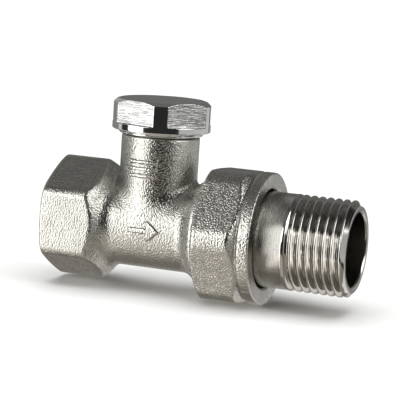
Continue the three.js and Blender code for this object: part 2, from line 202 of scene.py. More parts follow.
def body_field(x, y, z):
    """The forging: inlet hexagon, run, flared rim, neck and spigot, with its waterways cut out."""
    r = np.hypot(y, z)
    neck_r = np.hypot(x, y)
    inlet = hexagon(y, z, HEX_HALF_FLATS, 1.1)
    front = line(x, r, (INLET_FACE, HEX_FACE_RADIUS), (HEX_START, HEX_CORNER))
    cone = line(x, r, (HEX_END, HEX_CORNER), (CONE_END, TUBE_RADIUS))
    inlet = soft_max(inlet, r - HEX_CORNER, 0.3)
    inlet = soft_max(inlet, soft_max(INLET_FACE - x, front, 0.3), 0.5)
    inlet = soft_max(inlet, cone, 0.4)
    tube = rod(r, x, TUBE_RADIUS, CONE_END - 4, RIM_END)
    flare = line(x, r, (TUBE_END, TUBE_RADIUS), (RIM_START, RIM_RADIUS))
    flare = soft_max(flare, rod(r, x, RIM_RADIUS, TUBE_END - 3, RIM_END, 0.35), 0.3)
    made = soft_min(inlet, tube, 1.2)
    made = soft_min(made, flare, 0.8)
    neck = rod(neck_r, z, NECK_RADIUS, 0.0, NECK_TOP, 0.5)
    made = soft_min(made, neck, 1.6)
    made = np.minimum(made, rod(neck_r, z, NECK_THREAD_RADIUS - 0.7, 10.0, NECK_THREAD_TOP - 0.15))
    made = np.minimum(made, rod(r, x, SPIGOT_THREAD_RADIUS - 1.1, RIM_START, SPIGOT_END - 0.15))
    made = soft_min(made, flow_mark(x, y, z, r), 0.15)
    made = soft_min(made, neck_mark(x, y, z, neck_r), 0.15)
    for hollow in (
        rod(r, x, PIPE_MAJOR + 0.35, INLET_FACE - 4, SOCKET_BOTTOM + 0.05),
        rod(r, x, OUTLET_RADIUS, OUTLET_START, FAR),
        rod(r, x, NOSE_SEAT_RADIUS, NOSE_SEAT_START, FAR, 1.0),
        rod(neck_r, z, NECK_BORE_RADIUS, NECK_BORE_START, FAR),
        rod(neck_r, z, BUSH_BORE_RADIUS, BUSH_BORE_START, FAR, 0.6),
        rod(neck_r, z, SEAT_RADIUS, SEAT_LOW, SEAT_HIGH),
        rod(np.hypot(y, z - LOWER_WAY_HEIGHT), x, LOWER_WAY_RADIUS, -12.0, LOWER_WAY_END),
        rod(np.hypot(y, z - UPPER_WAY_HEIGHT), x, UPPER_WAY_RADIUS, 0.0, UPPER_WAY_END),
    ):
        made = soft_max(made, -hollow, 0.3)
    return made


MARK_CENTRE = (1.0, 0.0)
MARK_PROUD = 0.35
ARROW_HALF = 3.6
NECK_MARK_CENTRE = (-0.4, 13.3)
NECK_MARK_STEP = 1.5


def flow_mark(x, y, z, r):
    """A plain raised arrow that points along the flow, on the front of the body."""
    u, v = x - MARK_CENTRE[0], z - MARK_CENTRE[1]
    shaft = np.maximum(span(u, -ARROW_HALF, 0.8), np.abs(v) - 0.5)
    head = np.maximum(0.6 - u, (u - ARROW_HALF) * 0.707 + np.abs(v) * 0.9)
    outline = np.minimum(shaft, head)
    return np.maximum(soft_max(outline, r - TUBE_RADIUS - MARK_PROUD, 0.15), y)


def neck_mark(x, y, z, neck_r):
    """Three level raised ribs on the front of the neck."""
    u, v = x - NECK_MARK_CENTRE[0], z - NECK_MARK_CENTRE[1]
    nearest = np.minimum(np.abs(v), np.abs(np.abs(v) - NECK_MARK_STEP))
    outline = np.maximum(np.abs(u) - 3.2, nearest - 0.3)
    return np.maximum(soft_max(outline, neck_r - NECK_RADIUS - MARK_PROUD, 0.15), y)


def nut_field(x, y, z):
    """The union nut: a hexagon turned down at its corners, and a round collar behind it."""
    r = np.hypot(y, z)
    c, s = math.cos(NUT_TURN), math.sin(NUT_TURN)
    made = hexagon(z * c - y * s, y * c + z * s, NUT_HALF_FLATS, 0.3)
    made = soft_max(made, r - NUT_CORNER, 0.4)
    front = line(x, r, (NUT_FACE, NUT_FACE_RADIUS), (NUT_FACE + 0.93, NUT_CORNER + 0.2))
    back = line(x, r, (NUT_HEX_END, NUT_CORNER), (NUT_HEX_END + 1.2, NUT_FACE_RADIUS))
    made = soft_max(made, soft_max(NUT_FACE - x, front, 0.2), 0.35)
    made = soft_max(made, soft_max(back, x - 25.0, 0.2), 0.45)
    collar = rod(r, x, NUT_COLLAR_RADIUS, NUT_COLLAR_FOOT, NUT_END, 0.4)
    shoulder = line(x, r, (NUT_COLLAR_FOOT, 13.6), (NUT_COLLAR_START, NUT_COLLAR_RADIUS))
    collar = soft_max(collar, shoulder, 0.25)
    made = soft_min(made, collar, 0.25)
    for hollow in (
        rod(r, x, NUT_HOLLOW_RADIUS, NUT_FACE - 5, NUT_HOLLOW_END),
        rod(r, x, NUT_HOLE_RADIUS, 20.0, FAR),
        line(x, r, (NUT_END - 0.5, NUT_HOLE_RADIUS), (NUT_END, NUT_HOLE_RADIUS + 0.5)),
    ):
        made = soft_max(made, -hollow, 0.2)
    return made


def flat_reach(x, y):
    """How far out a place lies towards the nearest of the cap's flats."""
    turns = np.radians(CAP_FIRST_FLAT + np.arange(CAP_FLATS) * 360 / CAP_FLATS)
    return np.maximum.reduce([x * math.cos(turn) + y * math.sin(turn) for turn in turns])


def cap_field(x, y, z):
    """The cover cap: a round ring with a lip below it and milled flats above it."""
    r = np.hypot(x, y)
    made = soft_max(r - CAP_RADIUS, span(z, CAP_LOW.z, CAP_HIGH.z), 0.2)
    top_edge = line(z, r, (CAP_HIGH.z - CAP_CHAMFER, CAP_RADIUS), (CAP_HIGH.z, CAP_TOP_RADIUS))
    made = soft_max(made, top_edge, 0.12)
    ring_edge = line(z, r, (CAP_LIP_TOP, CAP_LIP_RADIUS), (CAP_RING_BOTTOM, CAP_RADIUS))
    made = soft_max(made, ring_edge, 0.2)
    milled = soft_min(flat_reach(x, y) - CAP_FLAT_RADIUS, z - CAP_RING_TOP, 0.15)
    made = soft_max(made, milled, 0.12)
    made = soft_min(made, rod(r, z, CAP_LIP_RADIUS, CAP_LOW.z, CAP_RING_TOP, 0.15), 0.1)
    return soft_max(made, -rod(r, z, CAP_BORE + 0.55, CAP_LOW.z - 4, CAP_BORE_TOP), 0.2)


def bush_field(x, y, z):
    """The gland insert, with its seal groove, clip groove and screwdriver slot."""
    r = np.hypot(x, y)
    shank = rod(r, z, BUSH_RADIUS, BUSH_LOW.z, BUSH_END)
    made = np.minimum(shank, rod(r, z, BUSH_HEAD_RADIUS, BUSH_HEAD_START, BUSH_HIGH.z, 0.5))
    groove_radius, *groove = BUSH_SEAL_GROOVE
    clip_radius, *clip = BUSH_CLIP_GROOVE
    for hollow in (
        rod(r, z, BUSH_STEM_HOLE, 0.0, FAR),
        rod(r, z, BUSH_THREAD_HOLE, BUSH_THREAD_START, FAR),
        np.maximum(groove_radius - r, span(z, *groove)),
        np.maximum(r - clip_radius, span(z, *clip)),
        np.maximum(np.abs(y) - 0.8, BUSH_HIGH.z - 1.5 - z),
    ):
        made = soft_max(made, -hollow, 0.15)
    return made


def spindle_field(x, y, z):
    """The spindle's stem, with two seal grooves and a hexagon key socket in its head."""
    r = np.hypot(x, y)
    made = rod(r, z, SPINDLE_TIP_RADIUS, SPINDLE_LOW.z, 10.0)
    made = soft_min(made, rod(r, z, SPINDLE_RADIUS, 7.6, 18.0, 0.5), 0.2)
    made = np.minimum(made, rod(r, z, SPINDLE_HEAD_RADIUS, 17.5, SPINDLE_HIGH.z, 0.3))
    for low, high in SPINDLE_SEAL_GROOVES:
        made = soft_max(made, -np.maximum(SPINDLE_GROOVE_RADIUS - r, span(z, low, high)), 0.15)
    key = np.maximum(hexagon(x, y, KEY_HALF_FLATS, 0.05), SPINDLE_HIGH.z - KEY_DEPTH - z)
    lead_in = line(z, r, (SPINDLE_HIGH.z - 0.5, KEY_HALF_FLATS), (SPINDLE_HIGH.z, KEY_HALF_FLATS + 0.6))
    made = soft_max(made, -key, 0.12)
    return soft_max(made, -np.maximum(lead_in, SPINDLE_HIGH.z - 1.0 - z), 0.12)


def retaining_ring_field(x, y, z):
    """A split ring of oval section."""
    section = np.hypot((np.hypot(x, y) - CLIP_RADIUS) / 0.73, (z - CLIP_HEIGHT) / 0.25) - 1.0
    gap = np.maximum(np.abs(y) - 0.8, -x)
    return soft_max(section * 0.25, -gap, 0.1)


def washer_screw_field(x, y, z):
    """A round-headed screw with a straight slot."""
    r = np.hypot(x, y)
    head = rod(r, z, SCREW_HEAD_RADIUS, SCREW_LOW, SCREW_LOW + 1.1, 0.6)
    made = np.minimum(head, rod(r, z, SCREW_RADIUS, -1.0, SCREW_HIGH))
    return soft_max(made, -np.maximum(np.abs(y) - 0.3, z + 1.1), 0.1)


# ---------------------------------------------------------------- meshes
def link(name, mesh):
    obj = bpy.data.objects.new(name, mesh)
    bpy.context.scene.collection.objects.link(obj)
    return obj


def into_object_frame(points):
    return points * MM + np.array(CROSSING)


def gradient(field, points, step=0.02):
    """The field's slope at each point, which is the direction that its surface faces."""
    out = np.empty_like(points)
    for axis in range(3):
        ahead, behind = points.copy(), points.copy()
        ahead[:, axis] += step
        behind[:, axis] -= step
        out[:, axis] = (field(*ahead.T) - field(*behind.T)) / (2 * step)
    return out


PROJECTIONS = 3


def surface_of(name, field, low, high, voxel):
    """A mesh of the surface where the field is zero, with its vertices and normals taken from the field."""
    low = np.array(low) - 3 * voxel
    counts = np.ceil((np.array(high) + 3 * voxel - low) / voxel).astype(int)
    axes = [low[i] + voxel * np.arange(counts[i], dtype=np.float32) for i in range(3)]
    x, y, z = np.meshgrid(*[a.astype(np.float32) for a in axes], indexing="ij", sparse=True)
    band = 3 * voxel
    values = np.clip(field(x, y, z), -band, band).astype(np.float32)
    grid = openvdb.FloatGrid(band)
    grid.copyFromArray(np.ascontiguousarray(values))
    grid.transform = openvdb.createLinearTransform(voxelSize=voxel)
    points, quads = grid.convertToQuads(isovalue=0.0)
    points = points.astype(float) + low
    for _ in range(PROJECTIONS):
        slope = gradient(field, points)
        size = np.maximum((slope**2).sum(1), 0.25)
        move = slope * (field(*points.T) / size)[:, None]
        length = np.maximum(np.linalg.norm(move, axis=1), 1e-9)
        points -= move * np.minimum(1.0, 0.5 * voxel / length)[:, None]
    normals = gradient(field, points)
    normals /= np.maximum(np.linalg.norm(normals, axis=1), 1e-9)[:, None]
    return mesh_object(name, points, quads, normals)


def mesh_object(name, points, quads, normals=None):
    """A smooth-shaded object from millimetre points and quads whose faces turn outwards."""
    mesh = bpy.data.meshes.new(name)
    count = len(quads)
    mesh.vertices.add(len(points))
    mesh.vertices.foreach_set("co", into_object_frame(points).astype(np.float32).ravel())
    mesh.loops.add(count * 4)
    mesh.loops.foreach_set("vertex_index", np.asarray(quads, np.int32).ravel())
    mesh.polygons.add(count)
    mesh.polygons.foreach_set("loop_start", np.arange(0, count * 4, 4, dtype=np.int32))
    mesh.update(calc_edges=True)
    mesh.validate()
    mesh.shade_smooth()
    if normals is not None:
        mesh.normals_split_custom_set_from_vertices(normals.astype(np.float32))
    return link(name, mesh)


ARC_STEPS = 5


def rounded(outline):
    """An outline of (along, radius, fillet) corners as points, with each corner rounded by its fillet."""
    points = []
    count = len(outline)
    for i, (a, r, fillet) in enumerate(outline):
        here = np.array((a, r))
        if fillet <= 0:
            points.append(here)
            continue
        before = np.array(outline[i - 1][:2]) - here
        after = np.array(outline[(i + 1) % count][:2]) - here
        before_length, after_length = np.linalg.norm(before), np.linalg.norm(after)
        before, after = before / before_length, after / after_length
        half = math.acos(max(-1.0, min(1.0, float(before @ after)))) / 2
        reach = min(fillet / math.tan(half), 0.49 * before_length, 0.49 * after_length)
        for t in np.linspace(0, 1, ARC_STEPS):
            points.append(here + before * reach * (1 - t) ** 2 + after * reach * t**2)
    return points


CREST_SHARE, FLANKS_SHARE = 0.14, 0.72  # parts of one pitch


def thread_shape(phase):
    """Depth below the crest, from 0 to 1, of a thread with narrow flat crests and roots."""
    flank = np.clip((np.abs(2 * (phase % 1.0) - 1) - CREST_SHARE) / FLANKS_SHARE, 0, 1)
    return 0.8 * flank + 0.2 * (0.5 - 0.5 * np.cos(math.pi * flank))


class Thread(NamedTuple):
    """A helix that cuts an outline where its radius is `radius`: inwards on a shaft, outwards in a bore."""

    start: float
    end: float
    pitch: float
    depth: float
    radius: float


def helix_offset(along, angle, thread):
    """How far a thread cuts in at each place, each of its ends run out over one pitch."""
    turns = (along - thread.start) / thread.pitch
    inside = np.clip(turns, 0, 1) * np.clip((thread.end - along) / thread.pitch, 0, 1)
    return thread.depth * inside * thread_shape(turns - angle / (2 * math.pi))


THREAD_STEPS = 20  # rings in one pitch


def revolve(name, outline, sides=160, axis="x", thread=None, outward=True):
    """A closed outline of (along, radius, fillet) turned about the flow axis or the bonnet axis."""
    points = rounded(outline)
    if thread:
        points = densified(points, thread)
    profile = np.array(points)
    angle = np.linspace(0, 2 * math.pi, sides, endpoint=False)
    along = np.repeat(profile[:, :1], sides, axis=1)
    radius = np.repeat(profile[:, 1:], sides, axis=1)
    if thread:
        cut = helix_offset(along, angle[None, :], thread)
        on_thread = (np.abs(profile[:, 1] - thread.radius) < 1e-4)[:, None]
        radius = radius + np.where(on_thread, cut if not outward else -cut, 0.0)
    across, up = radius * np.cos(angle), radius * np.sin(angle)
    coords = (along, across, up) if axis == "x" else (across, up, along)
    vertices = np.stack([c.ravel() for c in coords], axis=1)
    rings = len(profile)
    i, j = np.meshgrid(np.arange(rings), np.arange(sides), indexing="ij")
    i2, j2 = (i + 1) % rings, (j + 1) % sides
    quads = np.stack([i * sides + j, i * sides + j2, i2 * sides + j2, i2 * sides + j], axis=-1).reshape(-1, 4)
    if signed_area(profile) > 0:
        quads = quads[:, ::-1]
    return mesh_object(name, vertices, quads)


def signed_area(profile):
    """The area inside a closed outline, below 0 where it runs clockwise."""
    a, r = profile[:, 0], profile[:, 1]
    return 0.5 * float(np.sum(a * np.roll(r, -1) - np.roll(a, -1) * r))


def densified(points, thread):
    """Adds rings along the threaded stretch of an outline."""
    step = thread.pitch / THREAD_STEPS
    out = []
    for here, after in zip(points, points[1:] + points[:1]):
        out.append(here)
        if abs(here[1] - thread.radius) < 1e-4 and abs(after[1] - thread.radius) < 1e-4:
            steps = max(1, int(abs(after[0] - here[0]) / step))
            for t in np.arange(1, steps) / steps:
                out.append(here + (after - here) * t)
    return out


def o_ring(name, radius, wire, at, axis="z", sides=120):
    """A ring of round section, `radius` and `wire` being the radii of the ring and of its section."""
    outline = [
        (at + wire * math.cos(t), radius + wire * math.sin(t), 0)
        for t in np.linspace(0, 2 * math.pi, 24, endpoint=False)
    ]
    return revolve(name, outline, sides, axis)


# ---------------------------------------------------------------- materials
def material(name):
    made = bpy.data.materials.new(name)
    made.use_nodes = True
    return made, made.node_tree, made.node_tree.nodes["Principled BSDF"]


def noise(tree, vector, scale, detail=2.0, rough=0.5):
    node = tree.nodes.new("ShaderNodeTexNoise")
    node.inputs["Scale"].default_value = scale
    node.inputs["Detail"].default_value = detail
    node.inputs["Roughness"].default_value = rough
    tree.links.new(vector, node.inputs["Vector"])
    return node.outputs["Fac"]


def ramp(tree, fac, low, high, color_low, color_high):
    node = tree.nodes.new("ShaderNodeValToRGB")
    node.color_ramp.elements[0].position = low
    node.color_ramp.elements[1].position = high
    node.color_ramp.elements[0].color = (*color_low, 1)
    node.color_ramp.elements[1].color = (*color_high, 1)
    tree.links.new(fac, node.inputs["Fac"])
    return node.outputs["Color"]


def rescale(tree, value, low, high, out_low, out_high):
    node = tree.nodes.new("ShaderNodeMapRange")
    for socket, number in zip(("From Min", "From Max", "To Min", "To Max"), (low, high, out_low, out_high)):
        node.inputs[socket].default_value = number
    tree.links.new(value, node.inputs["Value"])
    return node.outputs["Result"]


def bump(tree, height, distance, strength, normal=None):
    node = tree.nodes.new("ShaderNodeBump")
    node.inputs["Distance"].default_value = distance
    node.inputs["Strength"].default_value = strength
    tree.links.new(height, node.inputs["Height"])
    if normal is not None:
        tree.links.new(normal, node.inputs["Normal"])
    return node.outputs["Normal"]


def stretched(tree, scale):
    """Object coordinates in metres, scaled along each axis."""
    coords = tree.nodes.new("ShaderNodeTexCoord")
    mapping = tree.nodes.new("ShaderNodeMapping")
    mapping.inputs["Scale"].default_value = scale
    tree.links.new(coords.outputs["Object"], mapping.inputs["Vector"])
    return mapping.outputs["Vector"]


def edge_wear(tree, low=0.505, high=0.56):
    """1 on convex edges, 0 on flat and hollow places."""
    geometry = tree.nodes.new("ShaderNodeNewGeometry")
    return rescale(tree, geometry.outputs["Pointiness"], low, high, 0.0, 1.0)


def hollow(tree, low=0.44, high=0.5):
    """1 in grooves, 0 on flat and raised places: the mask for painted shade in grooves."""
    geometry = tree.nodes.new("ShaderNodeNewGeometry")
    return rescale(tree, geometry.outputs["Pointiness"], low, high, 1.0, 0.0)


def mix_color(tree, fac, a, b):
    """From a to b as fac goes from 0 to 1, each a number, a colour or a socket."""
    node = tree.nodes.new("ShaderNodeMix")
    node.data_type = "RGBA"
    for socket, value in ((node.inputs["Factor"], fac), (node.inputs[6], a), (node.inputs[7], b)):
        if isinstance(value, (int, float)):
            socket.default_value = value
        elif isinstance(value, tuple):
            socket.default_value = (*value, 1)
        else:
            tree.links.new(value, socket)
    return node.outputs[2]


def blasted_nickel():
    """Nickel plate over a shot-blasted forging: fine sparkling grain, softly worn edges."""
    made, tree, shader = material("nickel_satin")
    shader.inputs["Metallic"].default_value = 1.0
    plain = stretched(tree, (1, 1, 1))
    tone = ramp(tree, noise(tree, plain, 260, 4), 0.3, 0.7, (0.58, 0.57, 0.54), (0.66, 0.65, 0.615))
    grain = noise(tree, plain, 3000, 1, 0.4)
    speckle = ramp(tree, grain, 0.38, 0.62, (0.44, 0.43, 0.40), (0.80, 0.79, 0.76))
    color = mix_color(tree, 0.1, tone, speckle)
    color = mix_color(tree, edge_wear(tree), color, (0.80, 0.79, 0.76))
    tree.links.new(color, shader.inputs["Base Color"])
    rough = rescale(tree, noise(tree, plain, 900, 3), 0.3, 0.7, 0.18, 0.26)
    tree.links.new(rough, shader.inputs["Roughness"])
    coarse = bump(tree, noise(tree, plain, 700, 2), 0.00003, 0.5)
    fine = bump(tree, grain, 0.00014, 1.0, coarse)
    tree.links.new(fine, shader.inputs["Normal"])
    return made


def turned_nickel(name="nickel_turned", along="x", rough_low=0.2, rough_high=0.3, depth=0.00004):
    """Nickel plate over a lathe-turned surface: fine rings round the axis, with painted shade darkening the
    grooves and thread roots.
    """
    made, tree, shader = material(name)
    shader.inputs["Metallic"].default_value = 1.0
    scale = (9000, 90, 90) if along == "x" else (90, 90, 9000)
    rings = noise(tree, stretched(tree, scale), 1.0, 3, 0.65)
    plain = stretched(tree, (1, 1, 1))
    tone = ramp(tree, noise(tree, plain, 180, 4), 0.3, 0.7, (0.58, 0.56, 0.53), (0.68, 0.665, 0.635))
    color = mix_color(tree, edge_wear(tree), tone, (0.84, 0.83, 0.80))
    # painted shade: the colour goes nearly black in grooves and thread roots, where shade falls
    color = mix_color(tree, hollow(tree), color, (0.16, 0.155, 0.145))
    tree.links.new(color, shader.inputs["Base Color"])
    tree.links.new(rescale(tree, rings, 0.3, 0.7, rough_low, rough_high), shader.inputs["Roughness"])
    marks = bump(tree, rings, depth, 0.35)
    tree.links.new(bump(tree, noise(tree, plain, 1500, 2), depth, 0.25, marks), shader.inputs["Normal"])
    return made


def polished_chrome():
    """Bright chrome over faint turning rings."""
    made, tree, shader = material("chrome_polished")
    shader.inputs["Metallic"].default_value = 1.0
    plain = stretched(tree, (1, 1, 1))
    tone = ramp(tree, noise(tree, plain, 150, 3), 0.3, 0.7, (0.74, 0.745, 0.75), (0.82, 0.825, 0.83))
    tree.links.new(tone, shader.inputs["Base Color"])
    rings = noise(tree, stretched(tree, (70, 70, 7000)), 1.0, 3, 0.6)
    tree.links.new(rescale(tree, rings, 0.3, 0.7, 0.06, 0.13), shader.inputs["Roughness"])
    tree.links.new(bump(tree, rings, 0.00002, 0.2), shader.inputs["Normal"])
    return made


def milled_chrome():
    """The cap's flats: level cutter marks under the chrome."""
    made, tree, shader = material("chrome_milled")
    shader.inputs["Metallic"].default_value = 1.0
    marks = noise(tree, stretched(tree, (420, 420, 4200)), 1.0, 2, 0.5)
    plain = stretched(tree, (1, 1, 1))
    tone = ramp(tree, marks, 0.42, 0.58, (0.36, 0.362, 0.365), (0.68, 0.685, 0.69))
    tree.links.new(tone, shader.inputs["Base Color"])
    tree.links.new(rescale(tree, marks, 0.3, 0.7, 0.12, 0.26), shader.inputs["Roughness"])
    streaks = bump(tree, marks, 0.00011, 1.0)
    tree.links.new(bump(tree, noise(tree, plain, 2400, 2), 0.00005, 0.3, streaks), shader.inputs["Normal"])
    return made


def machined_brass():
    """Bare brass with turning rings round the bonnet axis."""
    made, tree, shader = material("brass_raw")
    shader.inputs["Metallic"].default_value = 1.0
    plain = stretched(tree, (1, 1, 1))
    tone = ramp(tree, noise(tree, plain, 300, 4), 0.3, 0.7, (0.62, 0.45, 0.20), (0.78, 0.60, 0.30))
    tree.links.new(mix_color(tree, edge_wear(tree), tone, (0.9, 0.74, 0.42)), shader.inputs["Base Color"])
    rings = noise(tree, stretched(tree, (80, 80, 6000)), 1.0, 3, 0.6)
    tree.links.new(rescale(tree, rings, 0.3, 0.7, 0.2, 0.34), shader.inputs["Roughness"])
    tree.links.new(bump(tree, rings, 0.00004, 0.3), shader.inputs["Normal"])
    return made


def spring_steel():
    """Dark rolled wire with a fine grain."""
    made, tree, shader = material("spring_steel")
    shader.inputs["Metallic"].default_value = 1.0
    plain = stretched(tree, (1, 1, 1))
    grain = noise(tree, plain, 1800, 3)
    tone = ramp(tree, grain, 0.3, 0.7, (0.30, 0.31, 0.33), (0.46, 0.47, 0.49))
    tree.links.new(tone, shader.inputs["Base Color"])
    tree.links.new(rescale(tree, grain, 0.3, 0.7, 0.25, 0.42), shader.inputs["Roughness"])
    tree.links.new(bump(tree, grain, 0.00003, 0.3), shader.inputs["Normal"])
    return made


def soft_part(name, dark, light, rough_low, rough_high, grain_scale, depth):
    """Rubber, fibre or plastic: a matt surface with a fine moulded or pressed grain."""
    made, tree, shader = material(name)
    plain = stretched(tree, (1, 1, 1))
    grain = noise(tree, plain, grain_scale, 4, 0.6)
    tree.links.new(ramp(tree, grain, 0.3, 0.7, dark, light), shader.inputs["Base Color"])
    tree.links.new(rescale(tree, grain, 0.3, 0.7, rough_low, rough_high), shader.inputs["Roughness"])
    tree.links.new(bump(tree, grain, depth, 0.4), shader.inputs["Normal"])
    return made


NICKEL = blasted_nickel()
TURNED_X = turned_nickel()
TURNED_Z = turned_nickel("nickel_turned_bonnet", "z")
POLISHED_X = turned_nickel("nickel_thread", "x", 0.08, 0.16, 0.00001)
CHROME = polished_chrome()
MILLED = milled_chrome()
BRASS = machined_brass()
STEEL = spring_steel()
RUBBER = soft_part("rubber_black", (0.012, 0.012, 0.013), (0.03, 0.03, 0.032), 0.5, 0.7, 1800, 0.00003)
PTFE = soft_part("ptfe_white", (0.80, 0.79, 0.76), (0.90, 0.89, 0.86), 0.4, 0.55, 900, 0.00002)
FIBRE = soft_part("gasket_fibre", (0.22, 0.06, 0.05), (0.40, 0.14, 0.11), 0.7, 0.9, 1400, 0.00006)


def dress(obj, body, slot, finish, *nodes):
    """Gives a piece its finish and the body it rides on, and hides the CAD nodes it stands for."""
    for one in finish if isinstance(finish, tuple) else (finish,):
        obj.data.materials.append(one)
    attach(obj, body)
    if nodes:
        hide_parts(*nodes)
    return obj


# ---------------------------------------------------------------- pieces
BODY_VOXEL, NUT_VOXEL, CAP_VOXEL = 0.32, 0.22, 0.16
BUSH_VOXEL, SPINDLE_VOXEL, CLIP_VOXEL, SCREW_VOXEL = 0.16, 0.12, 0.1, 0.08


def make_body():
    """The forging, and the three threads that are cut on it."""
    low = (INLET_FACE, -HEX_HALF_FLATS, -HEX_CORNER)
    high = (SPIGOT_END, HEX_HALF_FLATS, NECK_THREAD_TOP)
    forging = surface_of("body_forging", body_field, low, high, BODY_VOXEL)
    dress(forging, "valve_body", "nickel_satin", NICKEL, "body")
    make_inlet_thread()
    make_spigot_thread()
    make_neck_thread()


def make_inlet_thread():
    """The pipe thread in the inlet socket, and the socket's floor."""
    floor = SOCKET_BOTTOM - 0.3
    socket = [
        (INLET_FACE, PIPE_MAJOR + 0.45, 0),
        (INLET_FACE, PIPE_MAJOR + 0.02, 0.12),
        (INLET_FACE + 1.3, PIPE_MINOR, 0.1),
        (floor, PIPE_MINOR, 0),
        (floor, 2.6, 0),
        (SOCKET_BOTTOM, 2.6, 0),
        (SOCKET_BOTTOM, PIPE_MAJOR + 0.45, 0),
    ]
    thread = Thread(INLET_FACE + 1.0, SOCKET_BOTTOM - 1.6, PIPE_PITCH, PIPE_MAJOR - PIPE_MINOR, PIPE_MINOR)
    inside = revolve("body_inlet_thread", socket, 160, "x", thread, outward=False)
    dress(inside, "valve_body", "nickel_turned", TURNED_X)


def make_spigot_thread():
    """The thread that the union nut runs on."""
    spigot = [
        (RIM_END - 0.05, 10.5, 0),
        (RIM_END - 0.05, SPIGOT_THREAD_RADIUS - 0.95, 0),
        (RIM_END + 0.8, SPIGOT_THREAD_RADIUS - 0.95, 0),
        (RIM_END + 1.3, SPIGOT_THREAD_RADIUS, 0),
        (SPIGOT_END - 0.7, SPIGOT_THREAD_RADIUS, 0),
        (SPIGOT_END, SPIGOT_THREAD_RADIUS - 0.8, 0.1),
        (SPIGOT_END, 9.5, 0.1),
        (SPIGOT_END - 0.6, 9.02, 0),
        (SPIGOT_END - 2.0, 9.02, 0),
        (SPIGOT_END - 2.0, 10.5, 0),
    ]
    thread = Thread(RIM_END + 1.3, SPIGOT_END, UNION_PITCH, 0.92, SPIGOT_THREAD_RADIUS)
    outside = revolve("body_union_thread", spigot, 160, "x", thread)
    dress(outside, "valve_body", "nickel_turned", TURNED_X)


def make_neck_thread():
    """The thread that the cap runs on."""
    neck = [
        (NECK_TOP - 0.5, 6.9, 0),
        (NECK_TOP + 0.02, NECK_RADIUS - 0.3, 0.1),
        (NECK_TOP + 0.02, NECK_THREAD_RADIUS - 0.7, 0.1),
        (NECK_TOP + 0.5, NECK_THREAD_RADIUS - 0.7, 0),
        (NECK_TOP + 0.9, NECK_THREAD_RADIUS, 0),
        (NECK_THREAD_TOP - 0.5, NECK_THREAD_RADIUS, 0),
        (NECK_THREAD_TOP, NECK_THREAD_RADIUS - 0.55, 0.1),
        (NECK_THREAD_TOP, 6.5, 0.1),
        (NECK_THREAD_TOP - 0.3, BUSH_BORE_RADIUS, 0),
        (NECK_THREAD_TOP - 2.0, BUSH_BORE_RADIUS, 0),
        (NECK_THREAD_TOP - 2.0, 6.9, 0),
    ]
    thread = Thread(NECK_TOP + 0.9, NECK_THREAD_TOP, COVER_PITCH, 0.6, NECK_THREAD_RADIUS)
    bonnet = revolve("body_cap_thread", neck, 160, "z", thread)
    dress(bonnet, "valve_body", "nickel_turned", TURNED_Z)


def make_nut():
    """The union nut and the thread in its bore."""
    low = (NUT_FACE, -NUT_CORNER, -NUT_COLLAR_RADIUS)
    high = (NUT_END, NUT_CORNER, NUT_COLLAR_RADIUS)
    nut = surface_of("union_nut_hexagon", nut_field, low, high, NUT_VOXEL)
    dress(nut, "union_nut", "nickel_satin", NICKEL, "union_nut")
    bore = [
        (NUT_FACE + 0.05, NUT_HOLLOW_RADIUS + 0.15, 0),
        (NUT_FACE + 0.05, NUT_HOLLOW_RADIUS + 0.05, 0.05),
        (NUT_FACE + 0.7, NUT_THREAD_RADIUS, 0),
        (NUT_HOLLOW_END - 0.1, NUT_THREAD_RADIUS, 0),
        (NUT_HOLLOW_END - 0.1, NUT_HOLLOW_RADIUS + 0.15, 0),
    ]
    thread = Thread(NUT_FACE + 0.7, NUT_THREAD_END, UNION_PITCH, 0.62, NUT_THREAD_RADIUS)
    inside = revolve("union_nut_thread", bore, 160, "x", thread, outward=False)
    dress(inside, "union_nut", "nickel_turned", TURNED_X)


def face_middles(obj):
    """The middle of every face, in millimetres from the crossing of the axes."""
    middles = np.empty(len(obj.data.polygons) * 3)
    obj.data.polygons.foreach_get("center", middles)
    return (middles.reshape(-1, 3) - np.array(CROSSING)) / MM


def make_cap():
    """The cover cap, with milled flats, and the thread in its bore."""
    low = (-CAP_RADIUS, -CAP_RADIUS, CAP_LOW.z)
    high = (CAP_RADIUS, CAP_RADIUS, CAP_HIGH.z)
    cap = surface_of("cap_shell", cap_field, low, high, CAP_VOXEL)
    dress(cap, "cap", "chrome_polished", (CHROME, MILLED), "cap")
    x, y, z = face_middles(cap).T
    on_flat = (np.abs(flat_reach(x, y) - CAP_FLAT_RADIUS) < 0.03) & (z > CAP_RING_TOP + 0.05)
    cap.data.polygons.foreach_set("material_index", on_flat.astype(np.int32))
    bore = [
        (CAP_LOW.z + 0.03, CAP_BORE + 0.7, 0),
        (CAP_LOW.z + 0.03, CAP_BORE + 0.5, 0.05),
        (CAP_LOW.z + 0.6, CAP_BORE, 0),
        (CAP_BORE_TOP - 0.1, CAP_BORE, 0),
        (CAP_BORE_TOP - 0.1, CAP_BORE + 0.7, 0),
    ]
    thread = Thread(CAP_LOW.z + 0.6, CAP_BORE_TOP - 1.3, COVER_PITCH, 0.5, CAP_BORE)
    inside = revolve("cap_thread", bore, 160, "z", thread, outward=False)
    dress(inside, "cap", "chrome_polished", TURNED_Z)


